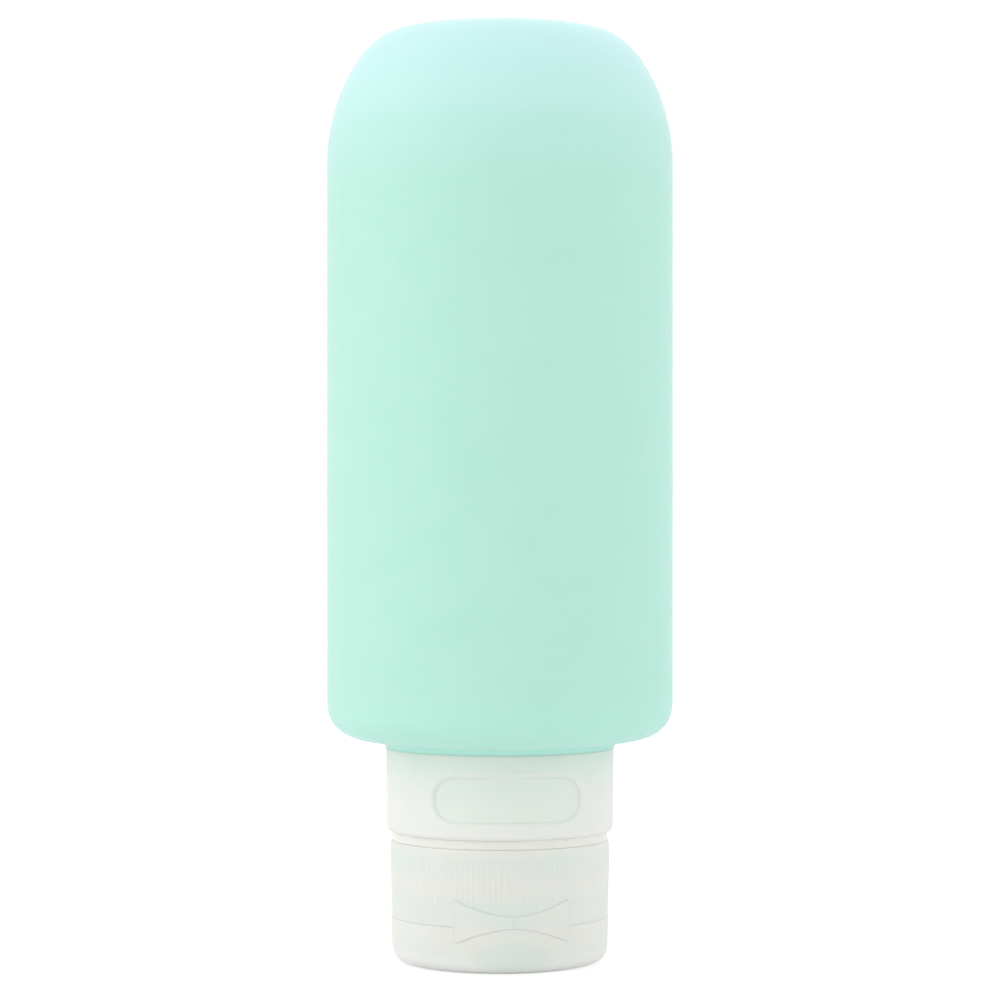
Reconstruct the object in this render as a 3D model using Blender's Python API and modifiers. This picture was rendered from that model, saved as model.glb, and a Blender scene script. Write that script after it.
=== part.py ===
"""Squeeze bottle that stands upside down on its flip-top cap, as an assembly of separate pieces.

Metres, +Z up. The origin is the centre of the lid's flat outer face, which the bottle stands on.
The hinge of the lid is at the front, the -Y side, turned a little towards +X.
"""

import math

import bmesh
import bpy
from mathutils import Matrix, Vector

MM = 0.001
UP = Vector((0, 0, 1))

# Clearances
seat_gap = 0.3 * MM            # between pieces that touch
running_gap = 0.3 * MM         # between pieces that turn or slide past each other
overrun = 1.0 * MM             # how far a cutter runs past what it cuts
weld_distance = 0.01 * MM      # merges the doubles of a turned or filled mesh

# Counts
round_steps = 40               # sides of a large turned piece
small_round_steps = 24         # sides of a small one
crown_steps = 9
corner_steps = 6
edge_steps = 3

# Body: soft silicone, closed at the top and open at the neck
body_diameter = 45.0 * MM
body_height = 92.1 * MM        # from the shoulder's underside to the closed end
body_wall = 2.3 * MM
end_wall = 2.6 * MM
crown_flat_radius = 13.65 * MM
crown_drop = 14.9 * MM
crown_power = 1.65             # power of the superellipse that rounds the closed end
shoulder_rise = 5.4 * MM
shoulder_power = 2.6
lip_height = 0.9 * MM          # rim under the shoulder that covers the collar's seam
neck_wall = 1.9 * MM

# Neck insert: rigid sleeve in the soft neck, flange and threaded spout in one
bore_diameter = 17.2 * MM
sleeve_wall = 0.9 * MM
sleeve_reach = 2.1 * MM        # how far the sleeve stands past the collar's top
sleeve_chamfer = 0.3 * MM
barb_height = 0.3 * MM
barb_count = 3
barb_pitch = 2.8 * MM
barb_drop = 2.2 * MM           # length of one barb's slope
flange_thickness = 0.8 * MM
flange_edge = 0.25 * MM
flange_ledge = 0.7 * MM        # how far the flange reaches under the collar
spout_wall = 2.15 * MM
spout_chamfer = 0.3 * MM

# Screw thread of the spout and the cap
thread_pitch = 3.0 * MM
thread_depth = 1.05 * MM
thread_root_width = 1.6 * MM
thread_crest_width = 0.8 * MM
thread_root_sink = 0.25 * MM   # how deep the ridge is rooted in its wall
thread_gap = 0.5 * MM          # between the spout's crest and the cap's wall
thread_tip_gap = 0.35 * MM     # between the cap's crest and the spout's wall
thread_start = 1.6 * MM        # from the spout's mouth to the middle of the ridge's start
spout_thread_turns = 1.3
cap_thread_turns = 1.4
thread_fade_turns = 0.12       # part of a turn over which a ridge rises from its wall
cap_thread_lead = 0.75         # turns by which the cap's ridge starts ahead of the spout's

# Label ring and window collar
label_wall = 0.7 * MM
collar_height = 10.4 * MM
collar_wall = 1.53 * MM
collar_draft = 0.13 * MM
collar_edge = 0.7 * MM
window_width = 18.4 * MM
window_height = 6.2 * MM
window_corner = 2.8 * MM
window_depth = 0.3 * MM
window_rise = 2.0 * MM         # from the collar's lower edge to the window's
window_azimuth = 3.5           # degrees from the front towards +X

# Cap: base, seal, valve and retainer
base_height = 9.6 * MM
base_wall = 1.98 * MM
base_draft = 0.23 * MM
base_top_edge = 0.7 * MM
base_low_edge = 0.3 * MM
base_mouth_chamfer = 0.3 * MM
rim_width = 1.45 * MM          # flat rim that meets the lid
deck_recess = 0.8 * MM
deck_thickness = 1.05 * MM
plug_wall = 1.0 * MM
plug_height = 2.2 * MM
seal_thickness = 0.7 * MM
seal_width = 2.1 * MM
spud_radius = 5.6 * MM
spud_wall = 0.7 * MM
spud_drop = 3.35 * MM          # from the deck's underside to the nozzle's end
spud_edge = 0.15 * MM
valve_seat_depth = 2.0 * MM
orifice_radius = 3.4 * MM
valve_flange = 0.7 * MM
valve_dome_rise = 1.9 * MM
valve_membrane = 0.55 * MM
slit_length = 3.6 * MM
slit_width = 0.2 * MM
retainer_thickness = 0.55 * MM
retainer_width = 1.4 * MM
scoop_radius = 12.0 * MM
scoop_depth = 0.9 * MM

# Flip lid
lid_height = 5.85 * MM
lid_wall = 1.7 * MM
lid_floor = 1.5 * MM
lid_draft = 0.08 * MM
lid_corner = 2.75 * MM
lid_corner_power = 2.7
lid_edge = 0.25 * MM
lid_inner_fillet = 0.8 * MM
seal_ring_wall = 0.8 * MM
seal_ring_height = 3.3 * MM
seal_ring_gap = 0.5 * MM       # lets the ring swing clear of the nozzle
stub_radius = 2.3 * MM
stub_shoulder_height = 3.3 * MM
stub_dome = 1.0 * MM

# Butterfly hinge
hinge_azimuth = 7.0            # degrees from the front towards +X
hinge_rise = 0.85 * MM         # from the middle of the parting gap to the hinge axis
wing_thickness = 0.7 * MM
wing_half_span = 7.3 * MM
wing_waist = 1.15 * MM         # height of a wing at the middle of the bow tie
wing_end_height = 5.2 * MM
wing_curve_power = 1.75
wing_middle_gap = 0.3 * MM     # between the two wings
wing_end_gap = 0.6 * MM
wing_edge_gap = 0.3 * MM
wing_outline_steps = 7

# Levels, from the floor up
parting_level = lid_height + running_gap
base_top = parting_level + base_height
flange_bottom = base_top + seat_gap
flange_top = flange_bottom + flange_thickness
collar_bottom = flange_top + running_gap
collar_top = collar_bottom + collar_height
lip_bottom = collar_top + running_gap
shoulder_level = lip_bottom + lip_height
body_top = shoulder_level + body_height
deck_bottom = parting_level + deck_recess
deck_top = deck_bottom + deck_thickness
seal_bottom = deck_top + seat_gap
mouth_level = seal_bottom + seal_thickness + seat_gap
nozzle_end = deck_bottom - spud_drop
valve_seat = nozzle_end + valve_seat_depth
valve_top = valve_seat - seat_gap
valve_bottom = valve_top - valve_flange
retainer_top = valve_bottom - seat_gap
hinge_level = lid_height + running_gap / 2 + hinge_rise

# Radii, from the bore out
bore_radius = bore_diameter / 2
sleeve_radius = bore_radius + sleeve_wall
neck_bore_radius = sleeve_radius + barb_height + seat_gap
neck_radius = neck_bore_radius + neck_wall
label_inner_radius = neck_radius + seat_gap
label_radius = label_inner_radius + label_wall
collar_inner_radius = label_radius + running_gap
collar_radius = collar_inner_radius + collar_wall
flange_radius = collar_inner_radius + flange_ledge
body_radius = body_diameter / 2
spout_radius = bore_radius + spout_wall
spout_crest_radius = spout_radius + thread_depth
base_inner_radius = spout_crest_radius + thread_gap
base_radius = base_inner_radius + base_wall
base_low_radius = base_radius - base_draft
cap_crest_radius = spout_radius + thread_tip_gap
plug_radius = bore_radius - seat_gap
valve_bore_radius = spud_radius - spud_wall
valve_radius = valve_bore_radius - seat_gap
dome_radius = orifice_radius - seat_gap
ring_inner_radius = spud_radius + seal_ring_gap
lid_radius = base_low_radius
lid_inner_radius = lid_radius - lid_wall
hinge_radius = lid_radius


def clear_scene():
    for found in list(bpy.data.objects):
        bpy.data.objects.remove(found, do_unlink=True)


def collection(name):
    made = bpy.data.collections.new(name)
    bpy.context.scene.collection.children.link(made)
    return made


def finish(name, colour, roughness, metallic=0.0):
    """A Principled material in one plain colour."""
    material = bpy.data.materials.new(name)
    material.use_nodes = True
    shader = material.node_tree.nodes["Principled BSDF"]
    shader.inputs["Base Color"].default_value = (*colour, 1)
    shader.inputs["Roughness"].default_value = roughness
    shader.inputs["Metallic"].default_value = metallic
    material.diffuse_color = (*colour, 1)
    return material


def place(name, mesh, material=None, level=0, azimuth=0):
    """An object on the bottle's axis. One without a material is a cutter."""
    piece = bpy.data.objects.new(name, mesh)
    piece.location = UP * level
    piece.rotation_euler.z = math.radians(azimuth)
    if material:
        mesh.materials.append(material)
        bottle.objects.link(piece)
    else:
        cutters.objects.link(piece)
        piece.hide_render = True
        piece.display_type = "WIRE"
    return piece


def corner(radius, level, end_radius, end_level, power=2, steps=edge_steps):
    """Quarter of a superellipse, flat at its first point and upright at its last."""
    points = []
    for step in range(steps + 1):
        turn = math.pi / 2 * step / steps
        across = math.sin(turn) ** (2 / power)
        down = math.cos(turn) ** (2 / power)
        points.append((radius + (end_radius - radius) * across, end_level + (level - end_level) * down))
    points[0] = (radius, level)
    points[-1] = (end_radius, end_level)
    return points


def upright_corner(radius, level, end_radius, end_level, power=2, steps=edge_steps):
    """The same quarter, upright at its first point and flat at its last."""
    return corner(end_radius, end_level, radius, level, power, steps)[::-1]


def turned(name, profile, material=None, level=0, azimuth=0, closed=True, steps=round_steps):
    """A solid of revolution about Z, with its origin at level on the axis.

    The profile gives radius and height above the floor, and runs down the outer side.
    """
    mesh = bpy.data.meshes.new(name)
    edges = [(index, index + 1) for index in range(len(profile) - 1)]
    if closed:
        edges.append((len(profile) - 1, 0))
    mesh.from_pydata([(radius, 0, height - level) for radius, height in profile], edges, [])
    piece = place(name, mesh, material, level, azimuth)
    screw = piece.modifiers.new("Screw", "SCREW")
    screw.axis = "Z"
    screw.steps = steps
    screw.render_steps = steps
    screw.use_merge_vertices = True
    screw.merge_threshold = weld_distance
    screw.use_smooth_shade = True
    return piece


def cut(piece, cutter, operation="DIFFERENCE"):
    boolean = piece.modifiers.new(operation.title(), "BOOLEAN")
    boolean.operation = operation
    boolean.solver = "EXACT"
    boolean.object = cutter


def prism(name, outline, near, far, azimuth=0):
    """A cutter with an outline of x and z, running along Y from near to far."""
    curve = bpy.data.curves.new(name, "CURVE")
    curve.dimensions = "2D"
    curve.fill_mode = "BOTH"
    curve.extrude = (far - near) / 2
    spline = curve.splines.new("POLY")
    spline.points.add(len(outline) - 1)
    for point, (across, height) in zip(spline.points, outline):
        point.co = (across, height, 0, 1)
    spline.use_cyclic_u = True
    drawn = bpy.data.objects.new(name + "_outline", curve)
    cutters.objects.link(drawn)
    mesh = bpy.data.meshes.new_from_object(drawn.evaluated_get(bpy.context.evaluated_depsgraph_get()))
    bpy.data.objects.remove(drawn)
    mesh.transform(Matrix.Rotation(math.pi / 2, 4, "X"))
    mesh.transform(Matrix.Translation((0, (near + far) / 2, 0)))
    filled = bmesh.new()
    filled.from_mesh(mesh)
    bmesh.ops.remove_doubles(filled, verts=filled.verts, dist=weld_distance)
    bmesh.ops.recalc_face_normals(filled, faces=filled.faces)
    filled.to_mesh(mesh)
    filled.free()
    return place(name, mesh, azimuth=azimuth)


def box(name, size, centre, azimuth=0):
    """A cutter made from a cube, with its size in its mesh."""
    mesh = bpy.data.meshes.new(name)
    made = bmesh.new()
    bmesh.ops.create_cube(made, size=1)
    bmesh.ops.scale(made, vec=size, verts=made.verts)
    bmesh.ops.translate(made, vec=centre, verts=made.verts)
    made.to_mesh(mesh)
    made.free()
    return place(name, mesh, azimuth=azimuth)


def thread(name, wall_radius, crest_radius, start_level, first_turn, turns):
    """A right-hand helical ridge that rises from its wall and sinks back into it.

    The ridge's middle is at start_level where its angle is zero, so two ridges that share a pitch
    keep their distance when one is screwed along the other.
    """
    outward = 1 if crest_radius > wall_radius else -1
    root_radius = wall_radius - outward * thread_root_sink
    rings = round(turns * round_steps)
    made = bmesh.new()
    previous = None
    for ring in range(rings + 1):
        along = turns * ring / rings
        height = min(1, along / thread_fade_turns, (turns - along) / thread_fade_turns)
        turn = first_turn + along
        crest = root_radius + (crest_radius - root_radius) * height
        crest += outward * thread_root_sink * (1 - height) / 2
        middle = start_level + thread_pitch * turn
        section = [
            (root_radius, middle + thread_root_width / 2),
            (crest, middle + thread_crest_width / 2),
            (crest, middle - thread_crest_width / 2),
            (root_radius, middle - thread_root_width / 2),
        ]
        angle = math.tau * turn
        loop = [made.verts.new((r * math.cos(angle), r * math.sin(angle), z)) for r, z in section]
        if previous:
            for side in range(len(loop)):
                after = (side + 1) % len(loop)
                made.faces.new((previous[side], previous[after], loop[after], loop[side]))
        else:
            made.faces.new(loop)
        previous = loop
    made.faces.new(previous[::-1])
    bmesh.ops.triangulate(made, faces=made.faces)
    bmesh.ops.recalc_face_normals(made, faces=made.faces)
    mesh = bpy.data.meshes.new(name)
    made.to_mesh(mesh)
    made.free()
    return place(name, mesh)


def make_squeeze_body(silicone):
    """One moulding: round body, domed closed end, shoulder, rim and neck."""
    crown_level = body_top - crown_drop
    shoulder_end = shoulder_level + shoulder_rise
    inner_radius = body_radius - body_wall
    inner_shoulder = shoulder_level + body_wall
    profile = [(0, body_top)]
    profile += corner(crown_flat_radius, body_top, body_radius, crown_level, crown_power, crown_steps)
    profile += upright_corner(body_radius, shoulder_end, collar_radius, shoulder_level,
                              shoulder_power, corner_steps)
    profile += [(collar_radius, lip_bottom), (neck_radius, lip_bottom)]
    profile += [(neck_radius, collar_bottom), (neck_bore_radius, collar_bottom)]
    profile += [(neck_bore_radius, inner_shoulder)]
    profile += corner(collar_radius, inner_shoulder, inner_radius, shoulder_end,
                      shoulder_power, corner_steps)
    profile += upright_corner(inner_radius, crown_level, crown_flat_radius, body_top - end_wall,
                              crown_power, crown_steps)
    profile += [(0, body_top - end_wall)]
    turned("squeeze_body", profile, silicone, shoulder_level, closed=False)


def make_neck_insert(plastic):
    """Barbed sleeve, flange and threaded spout in one rigid moulding."""
    sleeve_top = collar_top + sleeve_reach
    profile = [(bore_radius, sleeve_top), (sleeve_radius - sleeve_chamfer, sleeve_top)]
    profile += [(sleeve_radius, sleeve_top - sleeve_chamfer)]
    for barb in range(barb_count):
        barb_top = collar_top - barb * barb_pitch
        barb_end = barb_top - barb_drop
        profile += [(sleeve_radius, barb_top), (sleeve_radius + barb_height, barb_end)]
        profile += [(sleeve_radius, barb_end)]
    profile += [(sleeve_radius, flange_top), (flange_radius - flange_edge, flange_top)]
    profile += [(flange_radius, flange_top - flange_edge)]
    profile += [(flange_radius, flange_bottom + flange_edge)]
    profile += [(flange_radius - flange_edge, flange_bottom), (spout_radius, flange_bottom)]
    profile += [(spout_radius, mouth_level + spout_chamfer)]
    profile += [(spout_radius - spout_chamfer, mouth_level)]
    profile += [(bore_radius + spout_chamfer, mouth_level), (bore_radius, mouth_level + spout_chamfer)]
    insert = turned("neck_insert", profile, plastic, flange_bottom)
    cut(insert, thread("spout_thread", spout_radius, spout_crest_radius, mouth_level + thread_start,
                       0, spout_thread_turns), "UNION")


def make_label_ring(plastic):
    """Plain ring that clamps the soft neck on the barbs and shows through the window."""
    profile = [(label_inner_radius, collar_top), (label_radius, collar_top)]
    profile += [(label_radius, collar_bottom), (label_inner_radius, collar_bottom)]
    turned("label_ring", profile, plastic, collar_bottom)


def rounded_rectangle(width, low, high, radius):
    """Corner points of a rectangle about x = 0 with round corners."""
    points = []
    for sign_x, sign_z, first in ((1, 1, 0), (-1, 1, 1), (-1, -1, 2), (1, -1, 3)):
        centre_x = sign_x * (width / 2 - radius)
        centre_z = (high if sign_z > 0 else low) - sign_z * radius
        for step in range(corner_steps + 1):
            angle = math.pi / 2 * (first + step / corner_steps)
            points.append((centre_x + radius * math.cos(angle), centre_z + radius * math.sin(angle)))
    return points


def make_window_collar(plastic):
    """Outer ring that turns about the neck, with a thinned window in its front."""
    low_radius = collar_radius - collar_draft
    profile = [(collar_inner_radius, collar_top), (collar_radius, collar_top)]
    profile += upright_corner(low_radius, collar_bottom + collar_edge,
                              low_radius - collar_edge, collar_bottom)
    profile += [(collar_inner_radius, collar_bottom)]
    collar = turned("window_collar", profile, plastic, collar_bottom, window_azimuth)
    low = collar_bottom + window_rise
    outline = rounded_rectangle(window_width, low, low + window_height, window_corner)
    recess = turned("window_recess", [
        (low_radius - window_depth, collar_top),
        (collar_radius + overrun, collar_top),
        (collar_radius + overrun, collar_bottom),
        (low_radius - window_depth, collar_bottom),
    ], azimuth=window_azimuth)
    shape = prism("window_shape", outline, -collar_radius - 2 * overrun, 0, window_azimuth)
    cut(recess, shape, "INTERSECT")
    cut(collar, recess)


def make_cap_seal(rubber):
    """Flat gasket between the spout's mouth and the deck of the cap."""
    seal_top = seal_bottom + seal_thickness
    profile = [(bore_radius, seal_top), (bore_radius + seal_width, seal_top)]
    profile += [(bore_radius + seal_width, seal_bottom), (bore_radius, seal_bottom)]
    turned("cap_seal", profile, rubber, seal_bottom)


def bow_tie(name, low, high, margin=0):
    """Prism of the hinge's outline from x = low to high, whose height grows away from x = 0."""
    steps = round(wing_outline_steps * (high - low) / wing_half_span)
    upper = []
    for step in range(steps + 1):
        across = low + (high - low) * step / steps
        grown = (wing_end_height - wing_waist) * (abs(across) / wing_half_span) ** wing_curve_power
        upper.append((across, (wing_waist + grown) / 2 + margin))
    outline = [(across, hinge_level - height) for across, height in upper]
    outline += [(across, hinge_level + height) for across, height in reversed(upper)]
    return prism(name, outline, -base_radius - 2 * overrun, 0, hinge_azimuth)


def make_hinge_recess():
    """Cutter of the bow tie in the walls of the base and the lid."""
    floor_radius = hinge_radius - wing_thickness - seat_gap
    recess = turned("hinge_recess", [
        (floor_radius, base_top),
        (base_radius + overrun, base_top),
        (base_radius + overrun, 0),
        (floor_radius, 0),
    ], azimuth=hinge_azimuth)
    half_span = wing_half_span + wing_end_gap
    cut(recess, bow_tie("hinge_recess_shape", -half_span, half_span, wing_edge_gap), "INTERSECT")
    return recess


def make_cap_base(plastic, recess):
    """Skirt with the thread, deck with the plug ring, nozzle with the valve's seat."""
    low_rim_radius = base_low_radius - base_low_edge
    inner_rim_radius = base_low_radius - rim_width
    deck_radius = base_low_radius - lid_wall
    profile = [(base_inner_radius + base_mouth_chamfer, base_top)]
    profile += corner(base_radius - base_top_edge, base_top, base_radius, base_top - base_top_edge)
    profile += upright_corner(base_low_radius, parting_level + base_low_edge,
                              low_rim_radius, parting_level)
    profile += [(inner_rim_radius, parting_level), (deck_radius, deck_bottom)]
    profile += [(spud_radius, deck_bottom), (spud_radius, nozzle_end + spud_edge)]
    profile += [(spud_radius - spud_edge, nozzle_end), (valve_bore_radius, nozzle_end)]
    profile += [(valve_bore_radius, valve_seat), (orifice_radius, valve_seat)]
    profile += [(orifice_radius, deck_top), (plug_radius - plug_wall, deck_top)]
    profile += [(plug_radius - plug_wall, deck_top + plug_height), (plug_radius, deck_top + plug_height)]
    profile += [(plug_radius, deck_top), (base_inner_radius, deck_top)]
    profile += [(base_inner_radius, base_top - base_mouth_chamfer)]
    base = turned("cap_base", profile, plastic, parting_level, hinge_azimuth)
    cut(base, thread("cap_thread", base_inner_radius, cap_crest_radius,
                     mouth_level + thread_start + thread_pitch / 2, -cap_thread_lead,
                     cap_thread_turns), "UNION")
    cut(base, recess)
    cut(base, make_scoop())


def make_scoop():
    """Cylinder that cuts the thumb's hollow in the back of the base, above the lid's rim."""
    mesh = bpy.data.meshes.new("thumb_scoop")
    made = bmesh.new()
    bmesh.ops.create_cone(made, cap_ends=True, segments=round_steps, radius1=scoop_radius,
                          radius2=scoop_radius, depth=2 * base_radius)
    bmesh.ops.rotate(made, verts=made.verts, matrix=Matrix.Rotation(math.pi / 2, 3, "Y"))
    bmesh.ops.translate(made, verts=made.verts,
                        vec=(0, base_low_radius - scoop_depth + scoop_radius, parting_level))
    made.to_mesh(mesh)
    made.free()
    return place("thumb_scoop", mesh, azimuth=hinge_azimuth)


def make_drip_valve(silicone):
    """Flanged dome, slit crosswise, that opens only under pressure."""
    dome_foot = dome_radius - valve_membrane
    dome_top = valve_top + valve_dome_rise
    profile = corner(0, dome_top, dome_radius, valve_top, steps=corner_steps)
    profile += [(valve_radius, valve_top), (valve_radius, valve_bottom), (dome_foot, valve_bottom)]
    profile += upright_corner(dome_foot, valve_top, 0, dome_top - valve_membrane, steps=corner_steps)
    valve = turned("drip_valve", profile, silicone, valve_bottom, closed=False, steps=small_round_steps)
    for name, azimuth in (("slit_across", hinge_azimuth), ("slit_along", hinge_azimuth + 90)):
        size = Vector((slit_length, slit_width, 2 * valve_dome_rise))
        cut(valve, box(name, size, UP * dome_top, azimuth))


def make_valve_retainer(plastic):
    """Ring pressed into the nozzle under the valve's flange."""
    inner_radius = valve_radius - retainer_width
    retainer_bottom = retainer_top - retainer_thickness
    profile = [(inner_radius, retainer_top), (valve_radius, retainer_top)]
    profile += [(valve_radius, retainer_bottom), (inner_radius, retainer_bottom)]
    turned("valve_retainer", profile, plastic, retainer_bottom, steps=small_round_steps)


def hang_on_hinge(piece, hinge):
    """Parents a piece to the hinge's empty and keeps it where it is."""
    bpy.context.view_layer.update()
    world = piece.matrix_world.copy()
    piece.parent = hinge
    piece.matrix_local = hinge.matrix_world.inverted() @ world


def make_flip_lid(plastic, recess, hinge):
    """Shallow cup with the ring that seals the nozzle and the stub that backs the valve."""
    low_radius = lid_radius - lid_draft
    stub_top = lid_floor + stub_shoulder_height + stub_dome
    ring_radius = ring_inner_radius + seal_ring_wall
    ring_top = lid_floor + seal_ring_height
    profile = corner(0, stub_top, stub_radius, lid_floor + stub_shoulder_height)
    profile += [(stub_radius, lid_floor), (ring_inner_radius, lid_floor)]
    profile += [(ring_inner_radius, ring_top), (ring_radius, ring_top), (ring_radius, lid_floor)]
    profile += corner(lid_inner_radius - lid_inner_fillet, lid_floor,
                      lid_inner_radius, lid_floor + lid_inner_fillet)
    profile += [(lid_inner_radius, lid_height)]
    profile += corner(lid_radius - lid_edge, lid_height, lid_radius, lid_height - lid_edge)
    profile += upright_corner(low_radius, lid_corner, low_radius - lid_corner, 0,
                              lid_corner_power, corner_steps)
    profile += [(0, 0)]
    lid = turned("flip_lid", profile, plastic, azimuth=hinge_azimuth, closed=False)
    cut(lid, recess)
    hang_on_hinge(lid, hinge)


def make_hinge_wing(side, plastic, hinge):
    """One wing of the bow tie, a plate that follows the round of the cap."""
    name = "hinge_wing_left" if side < 0 else "hinge_wing_right"
    low, high = sorted((side * wing_middle_gap / 2, side * wing_half_span))
    wing = turned(name, [
        (hinge_radius - wing_thickness, base_top),
        (hinge_radius, base_top),
        (hinge_radius, 0),
        (hinge_radius - wing_thickness, 0),
    ], plastic, hinge_level, hinge_azimuth)
    cut(wing, bow_tie(name + "_shape", low, high), "INTERSECT")
    hang_on_hinge(wing, hinge)


def make_hinge_axis():
    """Empty on the lid's hinge axis, with its X along the axis."""
    hinge = bpy.data.objects.new("lid_hinge_axis", None)
    bottle.objects.link(hinge)
    turn = Matrix.Rotation(math.radians(hinge_azimuth), 4, "Z")
    hinge.matrix_world = turn @ Matrix.Translation((0, -hinge_radius, hinge_level))
    bpy.context.view_layer.update()
    return hinge


clear_scene()
bottle = collection("squeeze_bottle")
cutters = collection("cutters")
mint_silicone = finish("mint_silicone", (0.48, 0.82, 0.69), 0.55)
frosted_plastic = finish("frosted_plastic", (0.78, 0.81, 0.76), 0.45)
clear_silicone = finish("clear_silicone", (0.82, 0.84, 0.82), 0.4)
label_plastic = finish("label_plastic", (0.72, 0.78, 0.73), 0.5)

make_squeeze_body(mint_silicone)
make_neck_insert(frosted_plastic)
make_label_ring(label_plastic)
make_window_collar(frosted_plastic)
make_cap_seal(clear_silicone)
hinge_recess = make_hinge_recess()
make_cap_base(frosted_plastic, hinge_recess)
make_drip_valve(clear_silicone)
make_valve_retainer(frosted_plastic)
hinge_axis = make_hinge_axis()
make_flip_lid(frosted_plastic, hinge_recess, hinge_axis)
for wing_side in (-1, 1):
    make_hinge_wing(wing_side, frosted_plastic, hinge_axis)
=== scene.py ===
"""Looks of a squeeze bottle that stands on its flip-top cap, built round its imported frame.

Sizes are in millimetres and become metres where a mesh or a texture is made.
"""

import math

import bmesh
import bpy
import numpy as np
from mathutils import Matrix, Vector


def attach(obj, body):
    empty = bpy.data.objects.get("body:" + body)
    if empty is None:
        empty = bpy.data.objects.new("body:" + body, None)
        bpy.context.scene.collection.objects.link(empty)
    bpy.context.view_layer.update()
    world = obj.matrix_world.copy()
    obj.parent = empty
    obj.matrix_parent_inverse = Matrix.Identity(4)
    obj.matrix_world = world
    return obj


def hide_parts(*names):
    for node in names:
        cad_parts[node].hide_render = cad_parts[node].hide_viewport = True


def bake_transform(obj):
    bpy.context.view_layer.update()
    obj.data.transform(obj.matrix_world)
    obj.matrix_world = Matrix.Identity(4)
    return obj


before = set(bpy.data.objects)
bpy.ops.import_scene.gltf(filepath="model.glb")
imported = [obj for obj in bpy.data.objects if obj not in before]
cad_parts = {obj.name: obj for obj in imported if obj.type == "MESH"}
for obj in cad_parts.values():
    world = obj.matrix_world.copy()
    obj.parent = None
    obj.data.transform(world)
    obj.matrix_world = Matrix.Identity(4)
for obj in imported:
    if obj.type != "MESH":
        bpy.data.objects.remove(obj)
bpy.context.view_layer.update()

# Squeeze body
# The soft mint bottle: a tube with a domed closed end, a shoulder with a thin rim, and a neck that
# is stretched over the insert's barbs. Silicone rubber, moulded in one in a blasted, matte mould.
MM = 0.001
body_radius = 22.5
body_top = 120.85
body_wall = 2.3
end_wall = 2.6
crown_flat = 13.2
crown_level = 104.0
crown_power = 1.8
crown_steps = 40
crown_inner_steps = 16
shoulder_level = 28.75
shoulder_end = 34.15
shoulder_power = 2.6
shoulder_steps = 24
shoulder_inner_steps = 12
collar_radius = 14.83
lip_bottom = 27.8
lip_flare = 0.6
lip_straight = 0.15
lip_edge = 0.45
neck_radius = 12.0
neck_bore = 10.1
neck_bottom = 17.15
body_sides = 256
gate_radius = 1.6
gate_depth = 0.15
hair_edge = 0.015
fine_edge = 0.08
small_edge = 0.15
round_edge = 0.2
broad_edge = 0.5
mint = (0.45, 0.77, 0.655)
mint_patch = (0.465, 0.78, 0.67)
# Painted highlight: a lighter, bluer mint for the crown.
mint_crown_highlight = (0.55, 0.83, 0.81)
# Painted light: a lighter mint for the rim and the shoulder's underside.
mint_lip_light = (0.465, 0.815, 0.695)


def quarter(start, end, power=2.0, steps=8, upright=False):
    """Quarter of a superellipse that leaves its start flat, or upright, and ends the other way."""
    points = []
    for step in range(steps + 1):
        turn = math.pi / 2 * step / steps
        lead, lag = math.sin(turn) ** (2 / power), 1 - math.cos(turn) ** (2 / power)
        across, along = (lag, lead) if upright else (lead, lag)
        points.append((start[0] + (end[0] - start[0]) * across,
                       start[1] + (end[1] - start[1]) * along))
    return points


def outline(corners, closed=True, gap=2.0, steps=4):
    """Points along corners of radius and height. A third number rounds that corner by so much."""
    drawn = []
    for index, (radius, height, *fillet) in enumerate(corners):
        here = Vector((radius, height))
        if not fillet:
            drawn.append(here)
            continue
        before = Vector(corners[index - 1][:2]) - here
        after = Vector(corners[(index + 1) % len(corners)][:2]) - here
        start = here + before.normalized() * fillet[0]
        end = here + after.normalized() * fillet[0]
        for step in range(steps + 1):
            share = step / steps
            drawn.append(start.lerp(here, share).lerp(here.lerp(end, share), share))
    if closed:
        drawn.append(drawn[0])
    spaced = [drawn[0]]
    for start, end in zip(drawn, drawn[1:]):
        parts = max(1, math.ceil((end - start).length / gap))
        spaced += [start.lerp(end, part / parts) for part in range(1, parts + 1)]
    return spaced


def node(tree, kind, sockets=None, **settings):
    """Adds a node. A socket given another's output is linked, and any other value is set."""
    made = tree.nodes.new(kind)
    for name, value in settings.items():
        setattr(made, name, value)
    for key, value in (sockets or {}).items():
        if isinstance(value, bpy.types.NodeSocket):
            tree.links.new(value, made.inputs[key])
        else:
            made.inputs[key].default_value = value
    return made


def maths(tree, operation, *values):
    return node(tree, "ShaderNodeMath", dict(enumerate(values)), operation=operation).outputs[0]


def new_tree(name, inputs):
    """A Geometry Nodes tree with named inputs, and their identifiers by name."""
    tree = bpy.data.node_groups.new(name, "GeometryNodeTree")
    tree.interface.new_socket("Mesh", in_out="INPUT", socket_type="NodeSocketGeometry")
    tree.interface.new_socket("Mesh", in_out="OUTPUT", socket_type="NodeSocketGeometry")
    keys = {}
    for label, kind in inputs.items():
        socket = tree.interface.new_socket(label, in_out="INPUT", socket_type="NodeSocket" + kind)
        keys[label] = socket.identifier
    return tree, keys, tree.nodes.new("NodeGroupInput").outputs


def close_tree(tree, mesh, finish):
    """Ends a tree in real, smooth geometry with its material."""
    smooth = node(tree, "GeometryNodeSetShadeSmooth", {"Geometry": mesh})
    real = node(tree, "GeometryNodeRealizeInstances", {"Geometry": smooth.outputs[0]})
    painted = node(tree, "GeometryNodeSetMaterial",
                   {"Geometry": real.outputs[0], "Material": finish})
    node(tree, "NodeGroupOutput", {0: painted.outputs[0]})


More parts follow.
